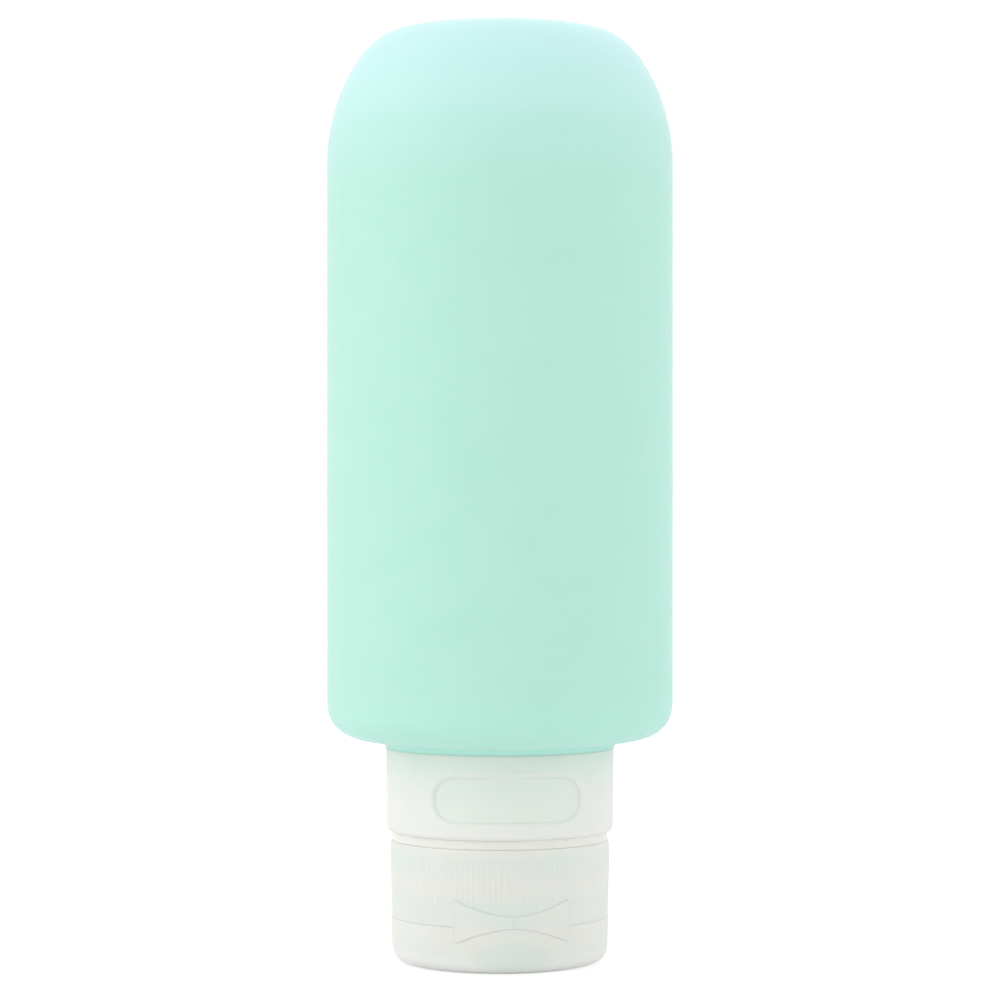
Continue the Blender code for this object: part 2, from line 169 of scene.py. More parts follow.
def lathe_tree():
    """Turns the points of an outline about Z, a column of them for each side."""
    tree, keys, given = new_tree("Lathe", {"Sides": "Int", "Finish": "Material"})
    size = node(tree, "GeometryNodeAttributeDomainSize", {"Geometry": given["Mesh"]})
    rows = size.outputs["Point Count"]
    columns = maths(tree, "ADD", given["Sides"], 1)
    grid = node(tree, "GeometryNodeMeshGrid", {"Vertices X": columns, "Vertices Y": rows})
    index = node(tree, "GeometryNodeInputIndex").outputs[0]
    column = maths(tree, "FLOOR", maths(tree, "DIVIDE", index, rows))
    row = maths(tree, "MODULO", index, rows)
    spot = node(tree, "GeometryNodeInputPosition").outputs[0]
    sample = node(tree, "GeometryNodeSampleIndex", {"Geometry": given["Mesh"], "Index": row},
                  data_type="FLOAT_VECTOR")
    tree.links.new(spot, sample.inputs["Value"])
    place = node(tree, "ShaderNodeSeparateXYZ", {0: sample.outputs[0]})
    angle = maths(tree, "MULTIPLY", maths(tree, "DIVIDE", column, given["Sides"]), math.tau)
    across = maths(tree, "MULTIPLY", place.outputs["X"], maths(tree, "COSINE", angle))
    along = maths(tree, "MULTIPLY", place.outputs["X"], maths(tree, "SINE", angle))
    turned_spot = node(tree, "ShaderNodeCombineXYZ", {0: across, 1: along, 2: place.outputs["Z"]})
    moved = node(tree, "GeometryNodeSetPosition",
                 {"Geometry": grid.outputs["Mesh"], "Position": turned_spot.outputs[0]})
    merged = node(tree, "GeometryNodeMergeByDistance",
                  {"Geometry": moved.outputs[0], "Distance": weld})
    close_tree(tree, merged.outputs[0], given["Finish"])
    return tree, keys


weld = 0.001 * MM
lathe, lathe_keys = lathe_tree()


def add_to_scene(name, data):
    made = bpy.data.objects.new(name, data)
    bpy.context.scene.collection.objects.link(made)
    return made


def keep_result(piece):
    """Makes the outcome of a piece's modifiers its plain mesh."""
    result = piece.evaluated_get(bpy.context.evaluated_depsgraph_get())
    mesh = bpy.data.meshes.new_from_object(result)
    mesh.name = piece.name
    piece.modifiers.clear()
    piece.data = mesh
    return piece


def run_tree(piece, tree, keys, values):
    """Puts a tree on a piece with its inputs, and keeps the result."""
    modifier = piece.modifiers.new(tree.name, "NODES")
    modifier.node_group = tree
    for label, value in values.items():
        modifier[keys[label]] = value
    return keep_result(piece)


def settle(piece, crease=40):
    """Merges doubles, turns the faces outwards and keeps edges sharper than crease degrees."""
    made = bmesh.new()
    made.from_mesh(piece.data)
    bmesh.ops.remove_doubles(made, verts=made.verts, dist=weld)
    bmesh.ops.dissolve_degenerate(made, edges=made.edges, dist=weld)
    if made.calc_volume(signed=True) < 0:
        bmesh.ops.reverse_faces(made, faces=made.faces)
    made.to_mesh(piece.data)
    made.free()
    piece.data.shade_smooth()
    piece.data.set_sharp_from_angle(angle=math.radians(crease))
    return piece


def turned(name, points, sides, finish):
    """A piece turned from an outline."""
    mesh = bpy.data.meshes.new(name)
    mesh.from_pydata([(x * MM, 0, z * MM) for x, z in points], [], [])
    piece = add_to_scene(name, mesh)
    return settle(run_tree(piece, lathe, lathe_keys, {"Sides": sides, "Finish": finish}))


first_colour, second_colour, mixed_colour = 6, 7, 2


def mix_colours(tree, share, first, second, **settings):
    """Goes from one colour to another by a share from 0 to 1."""
    mixed = node(tree, "ShaderNodeMix",
                 {"Factor": share, first_colour: first, second_colour: second},
                 data_type="RGBA", **settings)
    return mixed.outputs[mixed_colour]


def moulded(name, colour, patch, roughness, spread, patch_size, grain_size, grain_height):
    """A moulded finish: colour and roughness drift in soft patches under a blasted grain."""
    material = bpy.data.materials.new(name)
    material.use_nodes = True
    tree = material.node_tree
    shader = tree.nodes["Principled BSDF"]
    place = node(tree, "ShaderNodeTexCoord").outputs["Object"]
    clouds = node(tree, "ShaderNodeTexNoise", {
        "Vector": place, "Scale": 1 / (patch_size * MM), "Detail": 4.0, "Roughness": 0.6,
    })
    drift = node(tree, "ShaderNodeMapRange",
                 {"Value": clouds.outputs[0], "From Min": 0.35, "From Max": 0.65})
    tint = mix_colours(tree, drift.outputs[0], (*colour, 1), (*patch, 1), label="tint")
    tree.links.new(tint, shader.inputs["Base Color"])
    haze = node(tree, "ShaderNodeMapRange", {
        "Value": clouds.outputs[0], "From Min": 0.3, "From Max": 0.7,
        "To Min": roughness - spread, "To Max": roughness + spread,
    }, label="haze")
    tree.links.new(haze.outputs[0], shader.inputs["Roughness"])
    grain = node(tree, "ShaderNodeTexNoise", {
        "Vector": place, "Scale": 1 / (grain_size * MM), "Detail": 2.0, "Roughness": 0.7,
    })
    bump = node(tree, "ShaderNodeBump",
                {"Height": grain.outputs[0], "Distance": grain_height * MM})
    tree.links.new(bump.outputs[0], shader.inputs["Normal"])
    return material, tree, shader


def set_sockets(shader, **values):
    """Sets values on a shader's own sockets. An underscore in a name stands for a space."""
    for name, value in values.items():
        shader.inputs[name.replace("_", " ")].default_value = value


def bands(tree, stops):
    """A grey that follows height, from stops of height and value."""
    low, high = stops[0][0], stops[-1][0]
    place = node(tree, "ShaderNodeTexCoord").outputs["Object"]
    height = node(tree, "ShaderNodeSeparateXYZ", {0: place}).outputs["Z"]
    share = node(tree, "ShaderNodeMapRange",
                 {"Value": height, "From Min": low * MM, "From Max": high * MM})
    ramp = node(tree, "ShaderNodeValToRGB", {"Fac": share.outputs[0]})
    ramp.color_ramp.interpolation = "EASE"
    elements = ramp.color_ramp.elements
    while len(elements) < len(stops):
        elements.new(1.0)
    for element, (level, value) in zip(elements, stops):
        element.position = (level - low) / (high - low)
        element.color = (value, value, value, 1)
    return ramp.outputs[0]


def paint_light_and_shade(tree, shader, amount, colour):
    """Lays a colour over the base colour by an amount from 0 to 1, to paint light or shade."""
    base = shader.inputs["Base Color"]
    stained = mix_colours(tree, amount, base.links[0].from_socket, (*colour, 1))
    tree.links.new(stained, base)


mint_silicone, tree, shader = moulded("mint_silicone", mint, mint_patch, roughness=0.56,
                                      spread=0.05, patch_size=6.0, grain_size=0.16,
                                      grain_height=0.012)
set_sockets(shader, IOR=1.42, Subsurface_Weight=0.3, Subsurface_Radius=(0.6, 1.0, 0.85),
            Subsurface_Scale=0.9 * MM, Sheen_Weight=0.6, Sheen_Roughness=0.3,
            Sheen_Tint=(0.75, 0.9, 1.0, 1))
# Painted highlight: the crown turns lighter and bluer towards the top, in place of the lamps' soft
# reflection there.
crown_highlight_bands = bands(tree, [(99.0, 0.0), (106.0, 0.3), (112.0, 0.8), (118.0, 1.0)])
paint_light_and_shade(tree, shader, crown_highlight_bands, mint_crown_highlight)
# Painted light: the rim and the shoulder's underside are lightened, in place of the light from the
# floor and through the silicone that fills their shade.
lip_light_bands = bands(tree, [(27.8, 1.0), (28.6, 0.95), (29.2, 0.55), (32.0, 0.35), (36.0, 0.0)])
paint_light_and_shade(tree, shader, lip_light_bands, mint_lip_light)

cavity_radius = body_radius - body_wall
cavity_top = body_top - end_wall
cavity_shoulder = shoulder_level + body_wall
corners = [(0, body_top - gate_depth), (gate_radius, body_top - gate_depth, fine_edge)]
corners += [(gate_radius, body_top, fine_edge)]
corners += quarter((crown_flat, body_top), (body_radius, crown_level), crown_power, crown_steps)
corners += quarter((body_radius, shoulder_end), (collar_radius, shoulder_level),
                   shoulder_power, shoulder_steps, upright=True)[:-1]
corners += [(collar_radius + lip_flare, shoulder_level, lip_edge)]
corners += [(collar_radius, lip_bottom + lip_straight, round_edge)]
corners += [(collar_radius, lip_bottom, hair_edge), (neck_radius, lip_bottom, round_edge)]
corners += [(neck_radius, neck_bottom, small_edge), (neck_bore, neck_bottom, small_edge)]
corners += [(neck_bore, cavity_shoulder, broad_edge)]
corners += quarter((collar_radius, cavity_shoulder), (cavity_radius, shoulder_end),
                   shoulder_power, shoulder_inner_steps)
corners += quarter((cavity_radius, crown_level), (crown_flat, cavity_top),
                   crown_power, crown_inner_steps, upright=True)
corners += [(0, cavity_top)]
bottle_body = turned("bottle_body", outline(corners, closed=False), body_sides, mint_silicone)
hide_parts("squeeze_body")
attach(bottle_body, "bottle")

# Neck insert
# The rigid heart of the neck: a barbed sleeve that grips the neck from inside, a flange that closes
# the collar's lower end, and the spout for the cap. Clear polypropylene, injection moulded.
bore_radius = 8.6
sleeve_radius = 9.5
sleeve_top = 29.3
barb_tops = (27.2, 24.4, 21.6)
barb_drop = 2.2
barb_height = 0.3
flange_radius = 14.0
flange_top = 17.02
flange_bottom = 15.85
flange_edge = 0.02
spout_radius = 10.75
mouth_level = 9.3
thread_pitch = 3.0
thread_depth = 1.05
thread_root = 1.6
thread_crest = 0.8
thread_fade = 0.12
thread_margin = 0.35
spout_thread_level = 10.9
spout_turns = 1.3
thread_sides = 240
wall_reach = 0.05
slim_edge = 0.12
soft_edge = 0.3
clear_tone = (0.955, 0.955, 0.87)
clear_patch = (0.965, 0.965, 0.885)


def get_spots(piece):
    """Angle, radius and height of each vertex."""
    spots = np.empty(len(piece.data.vertices) * 3)
    piece.data.vertices.foreach_get("co", spots)
    x, y, z = spots.reshape(-1, 3).T / MM
    return np.arctan2(y, x), np.hypot(x, y), z


def set_spots(piece, angle, radius, height):
    spots = np.stack([radius * np.cos(angle), radius * np.sin(angle), height], axis=1) * MM
    piece.data.vertices.foreach_set("co", spots.ravel())
    return settle(piece)


def reshape(piece, rule):
    """Moves vertices in or out, to the radius that a rule of angle, radius and height gives."""
    angle, radius, height = get_spots(piece)
    return set_spots(piece, angle, rule(angle, radius, height), height)


def ridge(angle, height, level, first, turns):
    """How far a right-hand screw ridge stands out, from 0 to 1."""
    stand = np.zeros_like(angle)
    flank = (thread_root - thread_crest) / 2
    for lap in range(-2, 3):
        turn = angle / math.tau + lap
        along = turn - first
        from_middle = np.abs(height - level - thread_pitch * turn)
        rise = np.clip((thread_root / 2 - from_middle) / flank, 0, 1)
        fade = np.clip(np.minimum(along, turns - along) / thread_fade, 0, 1)
        stand = np.maximum(stand, rise * fade)
    return stand


def spout_thread(angle, radius, height):
    wall = (radius > spout_radius - wall_reach) & (radius < spout_radius + wall_reach)
    wall &= (height > mouth_level + thread_margin) & (height < flange_bottom - wall_reach)
    return radius + thread_depth * wall * ridge(angle, height, spout_thread_level, 0, spout_turns)


clear_plastic, _, shader = moulded("clear_plastic", clear_tone, clear_patch, roughness=0.32,
                                   spread=0.05, patch_size=3.0, grain_size=0.2,
                                   grain_height=0.004)
polypropylene = {"IOR": 1.49, "Transmission_Weight": 0.15, "Subsurface_Weight": 0.7,
                 "Subsurface_Radius": (1, 1, 1), "Subsurface_Scale": 0.2 * MM}
set_sockets(shader, **polypropylene)

corners = [(bore_radius, sleeve_top, small_edge), (sleeve_radius, sleeve_top, soft_edge)]
for barb_top in barb_tops:
    corners += [(sleeve_radius, barb_top), (sleeve_radius + barb_height, barb_top - barb_drop)]
    corners += [(sleeve_radius, barb_top - barb_drop)]
corners += [(sleeve_radius, flange_top, small_edge), (flange_radius, flange_top, flange_edge)]
corners += [(flange_radius, flange_bottom, slim_edge), (spout_radius, flange_bottom, round_edge)]
corners += [(spout_radius, mouth_level, soft_edge), (bore_radius, mouth_level, soft_edge)]
barbed_insert = turned("barbed_insert", outline(corners, gap=0.2), thread_sides, clear_plastic)
reshape(barbed_insert, spout_thread)
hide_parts("neck_insert")
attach(barbed_insert, "bottle")

# Label ring
# A band that clamps the neck on the barbs. Rows of one to five raised pips, which tell what the
# bottle holds, show one at a time in the turning collar's window. Moulded polypropylene.
label_inner = 12.3
label_outer = 13.0
label_bottom = 17.15
label_top = 27.2
pip_radius = 0.55
pip_height = 0.14
pip_pitch = 1.7
pip_level = 22.2
pip_rows = {1: 82, 2: 126, 3: 180, 4: 234, 5: 278}
label_sides = 192
label_tone = (0.95, 0.97, 0.95)
label_patch = (0.96, 0.975, 0.96)
level_only = (1, 1, 0)


def stretched(tree, place, factors):
    """A place with each of its three numbers multiplied by a factor."""
    made = node(tree, "ShaderNodeVectorMath", {0: place, 1: factors}, operation="MULTIPLY")
    return made.outputs[0]


def pip_tree():
    """A low dome on each point of a mesh, tilted to lie on the ring's round."""
    tree, keys, given = new_tree("Pips", {
        "Radius": "Float", "Height": "Float", "Finish": "Material",
    })
    ball = node(tree, "GeometryNodeMeshUVSphere", {"Segments": 20, "Rings": 8, "Radius": 1.0})
    shape = node(tree, "ShaderNodeCombineXYZ",
                 {0: given["Height"], 1: given["Radius"], 2: given["Radius"]})
    out = stretched(tree, node(tree, "GeometryNodeInputPosition").outputs[0], level_only)
    tilt = node(tree, "FunctionNodeAlignRotationToVector", {"Vector": out},
                axis="X", pivot_axis="Z")
    domes = node(tree, "GeometryNodeInstanceOnPoints",
                 {"Points": given["Mesh"], "Instance": ball.outputs["Mesh"],
                  "Rotation": tilt.outputs[0], "Scale": shape.outputs[0]})
    close_tree(tree, domes.outputs[0], given["Finish"])
    return tree, keys


label_plastic, _, shader = moulded("label_plastic", label_tone, label_patch, roughness=0.3,
                                   spread=0.04, patch_size=3.0, grain_size=0.2,
                                   grain_height=0.006)
set_sockets(shader, Transmission_Weight=0.6, Subsurface_Weight=0.2,
            Subsurface_Radius=(1, 1, 1), Subsurface_Scale=0.6 * MM)

pip_spots = []
for count, azimuth in pip_rows.items():
    for step in range(count):
        turn = math.radians(azimuth) + (step - (count - 1) / 2) * pip_pitch / label_outer
        pip_spots.append((label_outer * math.sin(turn) * MM, -label_outer * math.cos(turn) * MM,
                          pip_level * MM))
mesh = bpy.data.meshes.new("pips")
mesh.from_pydata(pip_spots, [], [])
pips = add_to_scene("label_pips", mesh)
run_tree(pips, *pip_tree(), {
    "Radius": pip_radius * MM, "Height": pip_height * MM, "Finish": label_plastic,
})
label_band = turned("label_band", outline([
    (label_inner, label_top, slim_edge), (label_outer, label_top, small_edge),
    (label_outer, label_bottom, small_edge), (label_inner, label_bottom, slim_edge),
]), label_sides, label_plastic)
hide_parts("label_ring")
for piece in (label_band, pips):
    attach(piece, "bottle")

# Window collar
# The frosted ring that turns round the neck. Its front is thinned to a polished, closed window
# through which the label ring shows. Injection moulded polypropylene, blasted all over but there.
collar_inner = 13.3
collar_top = 27.8
collar_bottom = 17.02
collar_low_radius = 14.7
collar_edge = 0.7
window_azimuth = math.radians(4.6)
window_width = 19.5
window_height = 6.5
window_corner = 3.0
window_level = 22.1
window_floor = 14.33
window_slope = 0.55
window_snap = 0.085
# Painted light: the green of the neck seen through the window.
window_painted_tint = 0.32
window_roughness = 0.22
snap_step = 0.01
snap_passes = 3
least_slope = 0.25
collar_skin = collar_inner + 0.5
collar_sides = 560
frost = (0.945, 0.94, 0.875)
frost_patch = (0.955, 0.95, 0.895)
# Painted green shade: stands in for shade and for green light from the mint parts, on the collar
# and the cap.
painted_green_shade = (0.75, 0.89, 0.82)


def toward(angle, azimuth):
    """Distance across and towards the front, per unit of radius, seen from an azimuth."""
    return np.cos(angle - azimuth), -np.sin(angle - azimuth)


def window_inside(angle, radius, height):
    """Distance inside the window's outline, below zero outside it."""
    across, front = toward(angle, window_azimuth)
    x = np.abs(across * radius) - (window_width / 2 - window_corner)
    z = np.abs(height - window_level) - (window_height / 2 - window_corner)
    outside = np.hypot(np.maximum(x, 0), np.maximum(z, 0)) + np.minimum(np.maximum(x, z), 0)
    return np.where(front > 0, window_corner - outside, -window_corner)


def smooth(value):
    value = np.clip(value, 0, 1)
    return value * value * (3 - 2 * value)


def snap(piece, inside, reach, wall):
    """Slides the vertices outside a wall that are near an outline on to it, for a clean edge."""
    angles, radii, heights = get_spots(piece)
    near = (np.abs(inside(angles, radii, heights)) < reach) & (radii > wall)
    angle, radius, height = angles[near], radii[near], heights[near]
    turn, rise = snap_step / radius, snap_step
    for _ in range(snap_passes):
        right, left = inside(angle + turn, radius, height), inside(angle - turn, radius, height)
        above, below = inside(angle, radius, height + rise), inside(angle, radius, height - rise)
        across, along = (right - left) / (2 * rise), (above - below) / (2 * rise)
        shift = inside(angle, radius, height) / np.maximum(across ** 2 + along ** 2, least_slope)
        angle, height = angle - shift * across / radius, height - shift * along
    angles[near], heights[near] = angle, height
    return set_spots(piece, angles, radii, heights)


def window_sunk(angle, radius, height):
    """How far the collar's outer wall is sunk to the window, from 0 to 1."""
    return smooth(window_inside(angle, radius, height) / window_slope) * (radius > collar_skin)


def window_recess(angle, radius, height):
    sunk = window_sunk(angle, radius, height)
    return radius + (np.minimum(radius, window_floor) - radius) * sunk


def mark(piece, name, values):
    """Keeps a number for each vertex, which a material reads by name."""
    marks = piece.data.attributes.new(name, "FLOAT", "POINT")
    marks.data.foreach_set("value", values.astype(np.float32))


def marked(tree, name):
    """The numbers that mark kept under a name."""
    return node(tree, "ShaderNodeAttribute", attribute_name=name).outputs["Fac"]


def patches(tree, size, low, high):
    """A grey that wanders between low and high in soft, flat patches."""
    place = stretched(tree, node(tree, "ShaderNodeTexCoord").outputs["Object"], (1, 1, 2))
    clouds = node(tree, "ShaderNodeTexNoise",
                  {"Vector": place, "Scale": 1 / (size * MM), "Detail": 2.0})
    return node(tree, "ShaderNodeMapRange", {
        "Value": clouds.outputs[0], "From Min": 0.38, "From Max": 0.62,
        "To Min": low, "To Max": high,
    }).outputs[0]


frosted_collar, tree, shader = moulded("frosted_collar", frost, frost_patch, roughness=0.46,
                                       spread=0.04, patch_size=3.5, grain_size=0.14,
                                       grain_height=0.01)
set_sockets(shader, **polypropylene)
# Painted shade and green light: the upper collar is tinted green in patches, for the shadow under
# the body's rim and the light cast by the mint body.
upper = bands(tree, [(17.2, 0.0), (20.5, 0.1), (24.2, 0.4), (26.0, 0.6), (27.2, 0.7)])
upper = maths(tree, "MULTIPLY", upper, patches(tree, size=6.0, low=0.6, high=1.0))
paint_light_and_shade(tree, shader, upper, painted_green_shade)
in_window = marked(tree, "window")
# Painted light: the window is tinted green for the mint neck that shows through it; the smoother
# finish below is real.
paint_light_and_shade(tree, shader, maths(tree, "MULTIPLY", in_window, window_painted_tint), painted_green_shade)
first_value, second_value = 2, 3
haze = shader.inputs["Roughness"].links[0].from_socket
polish = node(tree, "ShaderNodeMix",
              {"Factor": in_window, first_value: haze, second_value: window_roughness})
tree.links.new(polish.outputs[0], shader.inputs["Roughness"])

corners = [(collar_inner, collar_top, small_edge), (collar_radius, collar_top, hair_edge)]
corners += quarter((collar_low_radius, collar_bottom + collar_edge),
                   (collar_low_radius - collar_edge, collar_bottom), steps=6, upright=True)
corners += [(collar_inner, collar_bottom, slim_edge)]
collar_ring = turned("collar_ring", outline(corners, gap=0.16), collar_sides, frosted_collar)
snap(collar_ring, window_inside, window_snap, collar_skin)
reshape(collar_ring, window_recess)
mark(collar_ring, "window", window_sunk(*get_spots(collar_ring)))
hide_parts("window_collar")
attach(collar_ring, "collar")

# Cap seal
# The flat gasket between the spout's mouth and the deck of the cap. Clear silicone, punched from
# sheet and laid in the cap round its plug ring.
seal_inner = 8.6
seal_outer = 10.7
seal_top = 9.0
seal_bottom = 8.3
ring_sides = 128
silicone_tone = (0.90, 0.93, 0.91)
silicone_patch = (0.93, 0.95, 0.94)
clear_silicone, _, shader = moulded("clear_silicone", silicone_tone, silicone_patch,
                                    roughness=0.4, spread=0.06, patch_size=2.0,
                                    grain_size=0.12, grain_height=0.006)
set_sockets(shader, IOR=1.42, Transmission_Weight=0.4)
gasket = turned("gasket", outline([
    (seal_inner, seal_top, fine_edge), (seal_outer, seal_top, fine_edge),
    (seal_outer, seal_bottom, fine_edge), (seal_inner, seal_bottom, fine_edge),
]), ring_sides, clear_silicone)
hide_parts("cap_seal")
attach(gasket, "seal")

# Cap base
# The screw cap: a ribbed skirt with a thread inside, a deck with plug ring and nozzle, a bow tie
# pocket for the hinge in front and a hollow for the thumb behind. Frosted, moulded polypropylene.
base_top = 15.85
parting = 6.0
base_radius = 14.28
base_low_radius = 14.05
base_round = 0.3
base_round_drop = 1.35
parting_edge = 0.03
rim_middle = 13.2
rim_inner = 12.6
well_radius = 12.35
skirt_inner = 12.3
base_skin = skirt_inner + 1.2
bore_margin = 0.1
deck_bottom = 6.95
deck_top = 8.0
deck_margin = 0.3
wall_start = deck_top + 0.2
nozzle_radius = 5.6
nozzle_end = 3.6
valve_bore = 4.9
valve_seat = 5.6
orifice = 3.4
plug_inner = 7.3
plug_outer = 8.3
plug_top = 10.2
light_edge = 0.1
cap_thread_level = 12.4
cap_first_turn = -0.75
cap_turns = 1.4
cap_thread_depth = 1.2
scoop_radius = 12.0
scoop_depth = 0.9
scoop_side = 0.5
hinge_azimuth = math.radians(7)
hinge_level = 6.85
hinge_floor = 13.05
wing_half_span = 7.3
wing_waist = 1.15
wing_end_height = 5.2
wing_power = 1.75
wing_drop = 0.35
pocket_gap = -0.012
pocket_slope = 0.06
skin_gap = 0.17
snap_reach = 0.09
rib_count = 124
rib_depth = 0.065
rib_low = 8.0
rib_high = 14.5
rib_fade = 0.5
base_sides = 5 * rib_count
cap_frost = (0.89, 0.89, 0.84)
cap_patch = (0.902, 0.902, 0.857)
# Painted light for the lid's lowest edge.
cap_foot_glow = (0.98, 0.98, 0.925)
# Painted shade of the nozzle, seen through the lid's front.
nozzle_shade_strength = 0.5
nozzle_shade_tone = (0.76, 0.86, 0.80)


def wing_height(across):
    """How far the bow tie's upper edge stands above its level, at a distance from its middle."""
    share = (np.abs(across) / wing_half_span) ** wing_power
    return (wing_waist + (wing_end_height - wing_waist) * share) / 2


def pocket_inside(angle, radius, height):
    """Distance inside the bow tie's outline, below zero outside it."""
    across, front = toward(angle, hinge_azimuth)
    from_end = wing_half_span + pocket_gap - np.abs(across * radius)
    rise = height - hinge_level
    from_edge = wing_height(across * radius) + pocket_gap - np.maximum(rise, -rise - wing_drop)
    return np.where(front > 0, np.minimum(from_end, from_edge), -1)


def hinge_pocket(angle, radius, height):
    """Sinks the outer wall inside the bow tie to the pocket's floor."""
    sunk = smooth(pocket_inside(angle, radius, height) / pocket_slope)
    return radius + (np.minimum(radius, hinge_floor) - radius) * sunk


def thumb_hollow(angle, radius, height):
    """A round cut across the back of the skirt, above the lid's rim."""
    _, front = toward(angle, hinge_azimuth)
    level = np.clip(height - parting, 0, scoop_radius)
    drop = np.sqrt(scoop_radius ** 2 - level ** 2)
    reach = base_low_radius - scoop_depth + scoop_radius - drop
    cut = np.minimum(radius, reach / np.maximum(-front, scoop_side))
    return np.where((front < -scoop_side) & (radius > skirt_inner + bore_margin), cut, radius)


def skirt_thread(angle, radius, height):
    wall = (np.abs(radius - skirt_inner) < wall_reach) & (height > deck_top + deck_margin)
    wall &= height < base_top - thread_margin
    stand = ridge(angle, height, cap_thread_level, cap_first_turn, cap_turns)
    return radius - cap_thread_depth * wall * stand


def rib_tree():
    """Fine upright ribs round the outside of a turned piece, between two levels."""
    tree, keys, given = new_tree("Fine ribs", {
        "Ribs": "Int", "Depth": "Float", "Low": "Float", "High": "Float", "Fade": "Float",
        "Inside": "Float", "Finish": "Material",
    })
    spot = node(tree, "GeometryNodeInputPosition").outputs[0]
    place = node(tree, "ShaderNodeSeparateXYZ", {0: spot}).outputs
    flat = stretched(tree, spot, level_only)
    reach = node(tree, "ShaderNodeVectorMath", {0: flat}, operation="LENGTH").outputs["Value"]
    angle = maths(tree, "ARCTAN2", place["Y"], place["X"])
    wave = maths(tree, "COSINE", maths(tree, "MULTIPLY", angle, given["Ribs"]))
    fades = []
    for end, side in (("Low", "ADD"), ("High", "SUBTRACT")):
        fades.append(node(tree, "ShaderNodeMapRange", {
            "Value": place["Z"], "From Min": given[end],
            "From Max": maths(tree, side, given[end], given["Fade"]),
        }).outputs[0])
    outer = maths(tree, "GREATER_THAN", reach, given["Inside"])
    share = maths(tree, "MULTIPLY", maths(tree, "MULTIPLY", *fades), outer)
    sink = maths(tree, "MULTIPLY",
                 maths(tree, "MULTIPLY", maths(tree, "SUBTRACT", wave, 1), share),
                 maths(tree, "MULTIPLY", given["Depth"], 0.5))
    out = node(tree, "ShaderNodeVectorMath", {0: flat}, operation="NORMALIZE").outputs[0]
    push = node(tree, "ShaderNodeVectorMath", {0: out}, operation="SCALE")
    tree.links.new(sink, push.inputs["Scale"])
    moved = node(tree, "GeometryNodeSetPosition",
                 {"Geometry": given["Mesh"], "Offset": push.outputs[0]})
    close_tree(tree, moved.outputs[0], given["Finish"])
    return tree, keys


frosted_cap, tree, shader = moulded("frosted_cap", cap_frost, cap_patch, roughness=0.45,
                                    spread=0.04, patch_size=3.0, grain_size=0.14,
                                    grain_height=0.009)
set_sockets(shader, **polypropylene)
# Painted light: the lid's lowest edge is lightened, in place of the light that the floor and the
# translucent plastic bring to it.
foot_glow_bands = bands(tree, [(0.2, 1.0), (1.2, 0.8), (2.6, 0.0)])
paint_light_and_shade(tree, shader, foot_glow_bands, cap_foot_glow)
# Painted shade: green-grey bands by height, in patches, for the shade and green light of the
# thread, deck and neck inside the frosted cap.
cap_shade_bands = bands(tree, [(0, 0.25), (2.4, 0.1), (5.9, 0.05), (6.1, 0.3), (8.9, 0.45), (9.7, 0.12),
                         (11.6, 0.05), (12.6, 0.4), (14.6, 0.45), (15.4, 0.1)])
cap_shade_bands = maths(tree, "MULTIPLY", cap_shade_bands, patches(tree, size=9.0, low=0.35, high=1.0))
paint_light_and_shade(tree, shader, cap_shade_bands, painted_green_shade)
# Painted shade: a soft green-grey patch where the nozzle sits behind the lid's front.
nozzle_shade = maths(tree, "MULTIPLY", marked(tree, "nozzle_shade"), nozzle_shade_strength)
paint_light_and_shade(tree, shader, nozzle_shade, nozzle_shade_tone)

skin = [(rim_middle, base_top)]
skin += quarter((base_radius - base_round, base_top), (base_radius, base_top - base_round_drop),
                steps=10)
skin += quarter((base_low_radius, parting + parting_edge),
                (base_low_radius - parting_edge, parting), steps=2, upright=True)
skin += [(rim_middle, parting)]
core = [(rim_middle, parting), (rim_inner, parting, small_edge)]
core += [(well_radius, deck_bottom, slim_edge), (nozzle_radius, deck_bottom, soft_edge)]
core += [(nozzle_radius, nozzle_end, small_edge), (valve_bore, nozzle_end, slim_edge)]
core += [(valve_bore, valve_seat), (orifice, valve_seat, light_edge)]
core += [(orifice, deck_top, small_edge), (plug_inner, deck_top, round_edge)]
core += [(plug_inner, plug_top, round_edge), (plug_outer, plug_top, soft_edge)]
core += [(plug_outer, deck_top, light_edge), (skirt_inner, deck_top, light_edge)]
core += [(skirt_inner, wall_start)]
wall = [(skirt_inner, wall_start), (skirt_inner, base_top, soft_edge), (rim_middle, base_top)]
points = outline(skin, closed=False, gap=skin_gap)
points += outline(core, closed=False, gap=1.5, steps=2)[1:]
points += outline(wall, closed=False, gap=0.3, steps=2)[1:]
screw_cap = turned("screw_cap", points, base_sides, frosted_cap)
run_tree(screw_cap, *rib_tree(), {
    "Ribs": rib_count, "Depth": rib_depth * MM, "Low": rib_low * MM, "High": rib_high * MM,
    "Fade": rib_fade * MM, "Inside": base_skin * MM, "Finish": frosted_cap,
})
snap(screw_cap, pocket_inside, snap_reach, base_skin)
for rule in (skirt_thread, hinge_pocket, thumb_hollow):
    reshape(screw_cap, rule)
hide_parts("cap_base")
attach(screw_cap, "cap")

# Drip valve
# The flanged dome in the nozzle, slit crosswise, which opens when the body is squeezed and closes
# by itself. Clear silicone, moulded, with the slits cut by a blade.
valve_radius = 4.6
valve_top = 5.3
valve_bottom = 4.6
dome_radius = 3.1
dome_top = 7.2
dome_steps = 24
membrane = 0.55
slit_length = 3.6
slit_width = 0.12
valve_sides = 160


